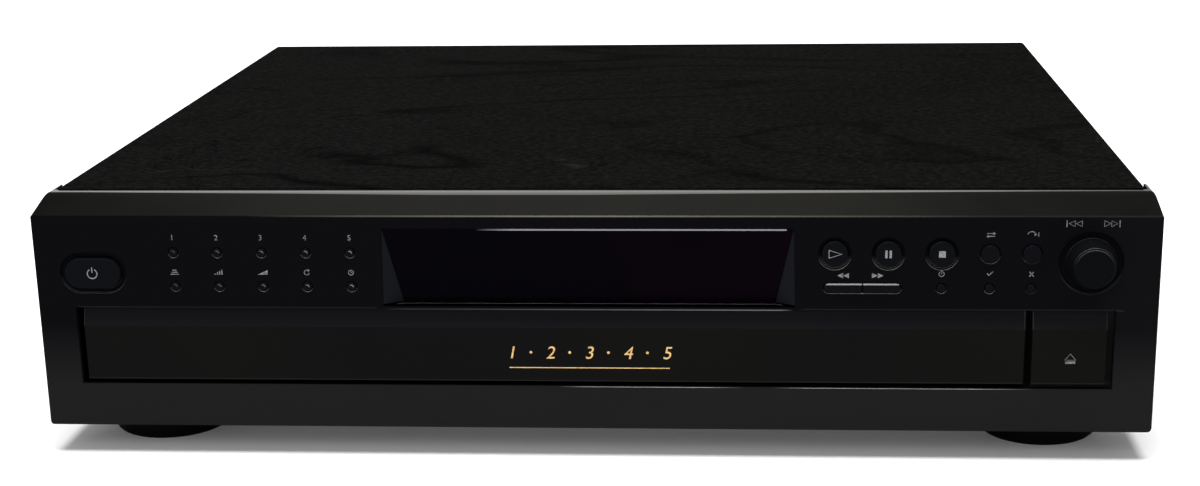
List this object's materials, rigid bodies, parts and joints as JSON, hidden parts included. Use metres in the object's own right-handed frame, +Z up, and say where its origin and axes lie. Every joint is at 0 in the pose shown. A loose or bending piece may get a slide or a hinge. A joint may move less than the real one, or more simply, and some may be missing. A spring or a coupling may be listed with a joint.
{
  "type": "multi disc cd changer",
  "caption": "Low wide disc changer: steel case, moulded front with display, keys and jog knob, and a sliding drawer that carries a turning carousel.",
  "frame": {"origin": "centre of the bounding box at floor level, under the feet", "axes": "+Z up, the front panel faces -Y, +X to the right of someone who looks at the front"},
  "size_m": [0.43, 0.4, 0.102],
  "materials": {
    "cover_steel": "matte black textured enamel on steel sheet",
    "bare_steel": "zinc-plated steel",
    "panel_black": "satin black moulded plastic",
    "key_black": "semi-gloss black moulded keys",
    "window_smoke": "smoked acrylic",
    "drawer_black": "satin dark grey moulded plastic",
    "mechanism_grey": "moulded structural plastic",
    "foot_black": "hard black plastic",
    "board_green": "circuit board laminate",
    "part_black": "black component plastic",
    "tube_glass": "clear glass display tube",
    "core_iron": "varnished laminated iron",
    "belt_rubber": "black rubber belt",
    "jack_metal": "nickel-plated shell",
    "ribbon_grey": "grey flat cable"
  },
  "bodies": {
    "root": {"chassis_pan": "bare_steel", "rear_panel": "cover_steel", "top_cover": "cover_steel", "front_panel": "panel_black", "feet": "foot_black", "case_screws": "bare_steel", "display_window": "window_smoke", "display_tube": "tube_glass", "control_board": "board_green", "tact_switches": "part_black", "jog_encoder": "part_black", "transformer": "core_iron", "main_board": "board_green", "capacitors": "part_black", "audio_jacks": "jack_metal", "cord_inlet": "part_black", "ribbon_cable": "ribbon_grey", "mechanism_frame": "mechanism_grey", "loading_motor": "bare_steel", "drive_belt": "belt_rubber", "clamp_bridge": "bare_steel"},
    "drawer": {"tray": "drawer_black", "drawer_front": "drawer_black", "carousel_axle": "bare_steel", "carousel_motor": "bare_steel"},
    "carousel": {"carousel_table": "drawer_black"},
    "carousel_drive": {"carousel_drive_gear": "mechanism_grey"},
    "loading_drive": {"loading_gear": "mechanism_grey"},
    "motor_drive": {"motor_pulley": "mechanism_grey"},
    "playing_unit": {"base_unit": "bare_steel", "guide_rods": "bare_steel", "spindle_motor": "bare_steel"},
    "turntable": {"disc_turntable": "mechanism_grey"},
    "pickup": {"pickup_sled": "mechanism_grey"},
    "cam": {"lift_cam": "mechanism_grey"},
    "disc_clamp": {"clamper": "mechanism_grey"},
    "jog_stem": {"jog_shaft": "bare_steel"},
    "jog_dial": {"jog_knob": "key_black"},
    "disc_button_1_body": {"disc_button_1": "key_black"},
    "disc_button_2_body": {"disc_button_2": "key_black"},
    "disc_button_3_body": {"disc_button_3": "key_black"},
    "disc_button_4_body": {"disc_button_4": "key_black"},
    "disc_button_5_body": {"disc_button_5": "key_black"},
    "function_button_1_body": {"function_button_1": "key_black"},
    "function_button_2_body": {"function_button_2": "key_black"},
    "function_button_3_body": {"function_button_3": "key_black"},
    "function_button_4_body": {"function_button_4": "key_black"},
    "function_button_5_body": {"function_button_5": "key_black"},
    "play_button_body": {"play_button": "key_black"},
    "pause_button_body": {"pause_button": "key_black"},
    "stop_button_body": {"stop_button": "key_black"},
    "exchange_button_body": {"exchange_button": "key_black"},
    "skip_button_body": {"skip_button": "key_black"},
    "time_button_body": {"time_button": "key_black"},
    "check_button_body": {"check_button": "key_black"},
    "clear_button_body": {"clear_button": "key_black"},
    "seek_back_key_body": {"seek_back_key": "key_black"},
    "seek_forward_key_body": {"seek_forward_key": "key_black"},
    "power_button_body": {"power_button": "key_black"},
    "open_close_key_body": {"open_close_key": "key_black"}
  },
  "joints": [
    {"name": "drawer_slide", "type": "slide", "parent": "root", "child": "drawer", "axis": [0, -1, 0], "range_m": [0, 0.215]},
    {"name": "carousel_spin", "type": "hinge", "parent": "drawer", "child": "carousel", "pos_m": [-0.01595, -0.0115, 0.045], "axis": [0, 0, 1], "continuous": true},
    {"name": "carousel_drive_spin", "type": "hinge", "parent": "drawer", "child": "carousel_drive", "pos_m": [-0.07252, 0.04507, 0.04], "axis": [0, 0, 1], "continuous": true},
    {"name": "loading_gear_spin", "type": "hinge", "parent": "root", "child": "loading_drive", "pos_m": [0.11125, -0.1315, 0.028], "axis": [0, 0, 1], "continuous": true},
    {"name": "motor_pulley_spin", "type": "hinge", "parent": "root", "child": "motor_drive", "pos_m": [0.06525, -0.1315, 0.026], "axis": [0, 0, 1], "continuous": true},
    {"name": "unit_lift", "type": "slide", "parent": "root", "child": "playing_unit", "axis": [0, 0, 1], "range_m": [0, 0.012]},
    {"name": "cam_slide", "type": "slide", "parent": "root", "child": "cam", "axis": [1, 0, 0], "range_m": [0, 0.03]},
    {"name": "turntable_spin", "type": "hinge", "parent": "playing_unit", "child": "turntable", "pos_m": [-0.01595, 0.093, 0.04], "axis": [0, 0, 1], "continuous": true},
    {"name": "pickup_slide", "type": "slide", "parent": "playing_unit", "child": "pickup", "axis": [0, 1, 0], "range_m": [0, 0.035]},
    {"name": "clamper_spin", "type": "hinge", "parent": "root", "child": "disc_clamp", "pos_m": [-0.01595, 0.093, 0.058], "axis": [0, 0, 1], "continuous": true},
    {"name": "jog_push", "type": "slide", "parent": "root", "child": "jog_stem", "axis": [0, 1, 0], "range_m": [0, 0.0008], "stiffness_N_per_m": 800},
    {"name": "jog_spin", "type": "hinge", "parent": "jog_stem", "child": "jog_dial", "pos_m": [0.1889, -0.1955, 0.0788], "axis": [0, 1, 0], "continuous": true},
    {"name": "disc_button_1_push", "type": "slide", "parent": "root", "child": "disc_button_1_body", "axis": [0, 1, 0], "range_m": [0, 0.001], "stiffness_N_per_m": 400},
    {"name": "disc_button_2_push", "type": "slide", "parent": "root", "child": "disc_button_2_body", "axis": [0, 1, 0], "range_m": [0, 0.001], "stiffness_N_per_m": 400},
    {"name": "disc_button_3_push", "type": "slide", "parent": "root", "child": "disc_button_3_body", "axis": [0, 1, 0], "range_m": [0, 0.001], "stiffness_N_per_m": 400},
    {"name": "disc_button_4_push", "type": "slide", "parent": "root", "child": "disc_button_4_body", "axis": [0, 1, 0], "range_m": [0, 0.001], "stiffness_N_per_m": 400},
    {"name": "disc_button_5_push", "type": "slide", "parent": "root", "child": "disc_button_5_body", "axis": [0, 1, 0], "range_m": [0, 0.001], "stiffness_N_per_m": 400},
    {"name": "function_button_1_push", "type": "slide", "parent": "root", "child": "function_button_1_body", "axis": [0, 1, 0], "range_m": [0, 0.001], "stiffness_N_per_m": 400},
    {"name": "function_button_2_push", "type": "slide", "parent": "root", "child": "function_button_2_body", "axis": [0, 1, 0], "range_m": [0, 0.001], "stiffness_N_per_m": 400},
    {"name": "function_button_3_push", "type": "slide", "parent": "root", "child": "function_button_3_body", "axis": [0, 1, 0], "range_m": [0, 0.001], "stiffness_N_per_m": 400},
    {"name": "function_button_4_push", "type": "slide", "parent": "root", "child": "function_button_4_body", "axis": [0, 1, 0], "range_m": [0, 0.001], "stiffness_N_per_m": 400},
    {"name": "function_button_5_push", "type": "slide", "parent": "root", "child": "function_button_5_body", "axis": [0, 1, 0], "range_m": [0, 0.001], "stiffness_N_per_m": 400},
    {"name": "play_button_push", "type": "slide", "parent": "root", "child": "play_button_body", "axis": [0, 1, 0], "range_m": [0, 0.001], "stiffness_N_per_m": 400},
    {"name": "pause_button_push", "type": "slide", "parent": "root", "child": "pause_button_body", "axis": [0, 1, 0], "range_m": [0, 0.001], "stiffness_N_per_m": 400},
    {"name": "stop_button_push", "type": "slide", "parent": "root", "child": "stop_button_body", "axis": [0, 1, 0], "range_m": [0, 0.001], "stiffness_N_per_m": 400},
    {"name": "exchange_button_push", "type": "slide", "parent": "root", "child": "exchange_button_body", "axis": [0, 1, 0], "range_m": [0, 0.001], "stiffness_N_per_m": 400},
    {"name": "skip_button_push", "type": "slide", "parent": "root", "child": "skip_button_body", "axis": [0, 1, 0], "range_m": [0, 0.001], "stiffness_N_per_m": 400},
    {"name": "time_button_push", "type": "slide", "parent": "root", "child": "time_button_body", "axis": [0, 1, 0], "range_m": [0, 0.001], "stiffness_N_per_m": 400},
    {"name": "check_button_push", "type": "slide", "parent": "root", "child": "check_button_body", "axis": [0, 1, 0], "range_m": [0, 0.001], "stiffness_N_per_m": 400},
    {"name": "clear_button_push", "type": "slide", "parent": "root", "child": "clear_button_body", "axis": [0, 1, 0], "range_m": [0, 0.001], "stiffness_N_per_m": 400},
    {"name": "seek_back_key_push", "type": "slide", "parent": "root", "child": "seek_back_key_body", "axis": [0, 1, 0], "range_m": [0, 0.001], "stiffness_N_per_m": 400},
    {"name": "seek_forward_key_push", "type": "slide", "parent": "root", "child": "seek_forward_key_body", "axis": [0, 1, 0], "range_m": [0, 0.001], "stiffness_N_per_m": 400},
    {"name": "power_button_push", "type": "slide", "parent": "root", "child": "power_button_body", "axis": [0, 1, 0], "range_m": [0, 0.001], "stiffness_N_per_m": 400},
    {"name": "open_close_key_push", "type": "slide", "parent": "root", "child": "open_close_key_body", "axis": [0, 1, 0], "range_m": [0, 0.001], "stiffness_N_per_m": 400}
  ],
  "couplings": [
    {"joint": "carousel_drive_spin", "follows": "carousel_spin", "ratio": -7},
    {"joint": "loading_gear_spin", "follows": "drawer_slide", "rad_per_m": -114.29},
    {"joint": "motor_pulley_spin", "follows": "drawer_slide", "rad_per_m": -574.4},
    {"joint": "cam_slide", "follows": "unit_lift", "ratio": 2.5}
  ]
}
